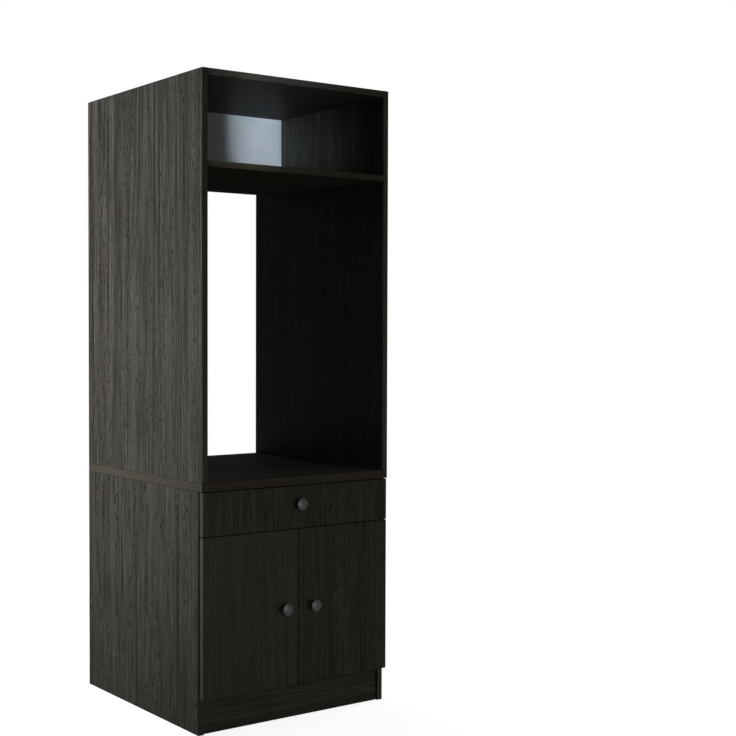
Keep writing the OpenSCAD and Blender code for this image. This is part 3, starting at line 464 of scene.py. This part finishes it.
def turnedPiece(name, profile, centre, steps):
    # the profile is turned about an axis through centre that points to -Y:
    # x = centre x + r cos(t), y = centre y - h, z = centre z + r sin(t)
    radii, heights = profile[1:-1, 0], profile[1:-1, 1]
    turn = np.linspace(0, 2 * math.pi, steps, endpoint=False)
    rings = np.stack([
        centre[0] + radii[:, None] * np.cos(turn),
        np.broadcast_to(centre[1] - heights[:, None], (len(radii), steps)),
        centre[2] + radii[:, None] * np.sin(turn)], axis=-1).reshape(-1, 3)
    poles = np.array([[centre[0], centre[1] - profile[0, 1], centre[2]],
                      [centre[0], centre[1] - profile[-1, 1], centre[2]]])
    points = np.vstack([rings, poles])
    ring = np.arange(steps)
    after = (ring + 1) % steps
    row = np.arange(len(radii) - 1)[:, None] * steps
    quads = np.stack([row + ring, row + after, row + steps + after, row + steps + ring], axis=-1)
    first, last = len(rings), len(rings) + 1
    lastRow = (len(radii) - 1) * steps
    footFan = np.column_stack([np.full(steps, first), after, ring])
    faceFan = np.column_stack([lastRow + ring, lastRow + after, np.full(steps, last)])
    mesh = bpy.data.meshes.new(name)
    mesh.from_pydata(points.tolist(), [], quads.reshape(-1, 4).tolist() + footFan.tolist() + faceFan.tolist())
    mesh.polygons.foreach_set("use_smooth", np.ones(len(mesh.polygons), dtype=bool))
    mesh.update()
    piece = bpy.data.objects.new(name, mesh)
    scene.collection.objects.link(piece)
    return piece


def turnFacesOutward(piece):
    # the signed volume from the triangles' corners is positive when the faces point outwards
    mesh = piece.data
    mesh.calc_loop_triangles()
    corners = np.zeros(len(mesh.loop_triangles) * 3, dtype=np.int32)
    mesh.loop_triangles.foreach_get("vertices", corners)
    points = np.zeros(len(mesh.vertices) * 3)
    mesh.vertices.foreach_get("co", points)
    a, b, c = points.reshape(-1, 3)[corners.reshape(-1, 3)].transpose(1, 0, 2)
    volume = float(np.einsum("ij,ij->i", a, np.cross(b, c)).sum() / 6)
    if volume < 0:
        mesh.flip_normals()
    return abs(volume)


profile = knobProfile(knobShape)
for knobNode, body in (
        ("drawer_knob", "drawer"), ("door_knob_left", "door_left"), ("door_knob_right", "door_right")):
    low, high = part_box(knobNode)
    centre = ((low.x + high.x) / 2, high.y, (low.z + high.z) / 2)
    pieceName = "turned_" + knobNode
    knob = turnedPiece(pieceName, profile, centre, knobShape["turnSteps"])
    volume = turnFacesOutward(knob)
    knob.data.materials.append(gunmetal)
    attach(knob, body)
    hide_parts(knobNode)
    print(pieceName, "volume cm3", round(volume * 1e6, 2))

stageLook = {
    "floorSize": 30.0, "floorDrop": 0.0003, "floorColour": "#80807e",
    "cameraShare": 0.30,                         # how much of the floor's light and shadow the camera sees
    "glowStart": 0.9, "glowEnd": 3.0, "nearGlow": 0.90,
    "mirroredShare": 0.08,
    "fill": 0.036, "fillColour": "#fff0dd",
    "backdropTurn": 0.75,                        # radians from +Y towards +X
    "backdropSide": 0.86, "sideBlur": 0.1,       # cosine of the angle off its middle
    "backdropFoot": 0.34, "footBlur": 0.15,      # sine of the height above the horizon
}


def seenDirectly(tree):
    # 1 for camera rays, and 1 for all rays that show the background: camera, glossy and transmission rays
    path = addNode(tree, "LightPath").node.outputs
    shown = path["Is Camera Ray"]
    for ray in ("Is Glossy Ray", "Is Transmission Ray"):
        shown = addNode(tree, "Math", {"operation": "MAXIMUM", 0: shown, 1: path[ray]})
    return path["Is Camera Ray"], shown


# Matt white paper: the camera sees a white glow with a thin shadow on it. The glow is full away from the
# cabinet and a little less where it stands. The cabinet in the photo mirrors next to no white, so glossy and
# transmission rays see only a small share of it, and the floor throws back the light of a grey card.
def makeFloor(look):
    half, level = look["floorSize"] / 2, -look["floorDrop"]
    mesh = bpy.data.meshes.new("floor")
    mesh.from_pydata([(-half, -half, level), (half, -half, level), (half, half, level), (-half, half, level)],
                     [], [(0, 1, 2, 3)])
    floor = bpy.data.objects.new("floor", mesh)
    scene.collection.objects.link(floor)
    material, tree, coordinates = newMaterial("paleMattFloor")
    isCamera, shown = seenDirectly(tree)
    plain = addNode(tree, "BsdfDiffuse", {"Color": look["floorColour"]})
    thin = addNode(tree, "BsdfDiffuse", {"Color": (*[look["cameraShare"]] * 3, 1)})
    away = addNode(tree, "VectorMath", {"operation": "LENGTH", 0: coordinates["Object"]}, "Value")
    glow = addNode(tree, "Emission", {"Color": (1, 1, 1, 1), "Strength": addNode(tree, "MapRange", {
        **softStep, "Value": away, "From Min": look["glowStart"], "From Max": look["glowEnd"],
        "To Min": look["nearGlow"]})})
    bright = addNode(tree, "AddShader", {0: thin, 1: glow})
    mirrored = addNode(tree, "Math", {"operation": "MULTIPLY", 0: shown, 1: look["mirroredShare"]})
    seen = addNode(tree, "Math", {"operation": "MAXIMUM", 0: isCamera, 1: mirrored})
    addNode(tree, "OutputMaterial", {"Surface": addNode(tree, "MixShader", {0: seen, 1: plain, 2: bright})})
    mesh.materials.append(material)


def makeWorld(look):
    # white to the camera; glossy and transmission rays see a white backdrop hung behind the cabinet, as wide as
    # a paper roll, with its foot a little above the horizon; the rest is a weak warm fill
    world = bpy.data.worlds.new("studio")
    scene.world = world
    world.use_nodes = True
    tree = world.node_tree
    tree.nodes.clear()
    isCamera, shown = seenDirectly(tree)
    direction = addNode(tree, "TexCoord", None, "Generated")
    middle = (math.sin(look["backdropTurn"]), math.cos(look["backdropTurn"]), 0.0)
    towards = addNode(tree, "VectorMath", {"operation": "DOT_PRODUCT", 0: direction, 1: middle}, "Value")
    height = addNode(tree, "SeparateXYZ", {"Vector": direction}, "Z")
    aboveFoot, betweenSides = [
        addNode(tree, "MapRange", {
            **softStep, "Value": value, "From Min": look[start], "From Max": look[start] + look[blur]})
        for value, start, blur in ((height, "backdropFoot", "footBlur"), (towards, "backdropSide", "sideBlur"))]
    onBackdrop = addNode(tree, "Math", {"operation": "MULTIPLY", 0: aboveFoot, 1: betweenSides})
    mirrored = addNode(tree, "Math", {"operation": "MULTIPLY", 0: shown, 1: onBackdrop})
    white = addNode(tree, "Math", {"operation": "MAXIMUM", 0: isCamera, 1: mirrored})
    background = addNode(tree, "Background", {
        "Strength": addNode(tree, "MapRange", {**softStep, "Value": white, "To Min": look["fill"]}),
        "Color": addNode(tree, "Mix", {"data_type": "RGBA", 0: white, 6: look["fillColour"], 7: "#ffffff"}, 2)})
    addNode(tree, "OutputWorld", {"Surface": background})


# level is the share of its written colour at which a white card facing the lamp renders
softBoxes = {
    "leftStrip": {
        "place": (-1.25, 0.27, 1.24), "aim": (-0.33, 0.27, 1.24), "size": (0.12, 1.8), "level": 2.42,
        "colour": (0.97, 1.0, 1.03)},
    "rightBox": {
        "place": (3.2, 0.2, 1.2), "aim": (0.3, 0.2, 1.1), "size": (0.8, 1.6), "level": 0.6,
        "colour": (1.0, 1.0, 1.0)},
    "backBox": {
        "place": (0.6, 3.6, 1.25), "aim": (0.3, 0.3, 1.25), "size": (0.6, 1.0), "level": 0.25,
        "colour": (1.0, 1.0, 1.0)},
    "frontLowBox": {
        "place": (0.6, -3.2, 0.25), "aim": (0.0, -0.3, 0.45), "size": (0.8, 0.5), "level": 0.085,
        "colour": (1.0, 0.97, 0.92)},
    "frontHighBox": {
        "place": (-0.3, -4.2, 1.55), "aim": (0.0, 0.0, 1.3), "size": (1.6, 1.2), "level": 0.044,
        "colour": (1.0, 0.93, 0.82)},
    "overheadBox": {
        "place": (0.0, -0.2, 4.6), "aim": (0.0, 0.0, 1.8), "size": (2.4, 2.4), "level": 0.30,
        "colour": (1.0, 1.0, 1.0)},
}

# Boxes with honeycomb grids, whose rays are nearly parallel: two light the white panel past the left upright,
# and a softer one beside them the rear of the compartment's right side. The right side of each beam passes
# through edge, in x and y, and the beam reaches from low to high.
gridPath = {"turn": 0.670, "distance": 1.6, "high": 1.822}
gridBoxes = {
    "panelBoxWide": {
        "edge": (0.312, 0.195), "low": 1.57, "width": 0.157, "spread": 0.045, "level": 0.40,
        "colour": (0.97, 1.0, 1.04)},
    "panelBoxNarrow": {
        "edge": (0.312, 0.195), "low": 1.57, "width": 0.089, "spread": 0.045, "level": 0.33,
        "colour": (0.97, 1.0, 1.04)},
    "sideBoxSoft": {
        "edge": (0.312, 0.06), "low": 1.66, "width": 0.07, "spread": 0.30, "level": 1.5,
        "colour": (0.80, 1.0, 1.12)},
}


def addLamp(name, place, ray, size, power, colour):
    data = bpy.data.lights.new(name, "AREA")
    data.shape = "RECTANGLE"
    data.size, data.size_y = size
    data.energy, data.color = power, colour
    light = bpy.data.objects.new(name, data)
    light.location = place
    light.rotation_euler = ray.to_track_quat("-Z", "Y").to_euler()
    light.visible_camera = False
    scene.collection.objects.link(light)
    return data


def placeLamps(boxes, grids, path):
    for name, box in boxes.items():
        ray = Vector(box["aim"]) - Vector(box["place"])
        power = box["level"] * math.pi ** 2 * ray.length ** 2
        addLamp(name, box["place"], ray, box["size"], power, box["colour"])
    ray = Vector((math.sin(path["turn"]), math.cos(path["turn"]), 0.0))
    leftward = Vector((-ray.y, ray.x, 0.0))
    for name, box in grids.items():
        width, height = box["width"], path["high"] - box["low"]
        middle = Vector((*box["edge"], box["low"] + height / 2)) + leftward * width / 2
        power = box["level"] * math.pi * width * height
        data = addLamp(name, middle - ray * path["distance"], ray, (width, height), power, box["colour"])
        data.spread = box["spread"]


makeFloor(stageLook)
makeWorld(stageLook)
placeLamps(softBoxes, gridBoxes, gridPath)
print("floor, world and lamps placed")
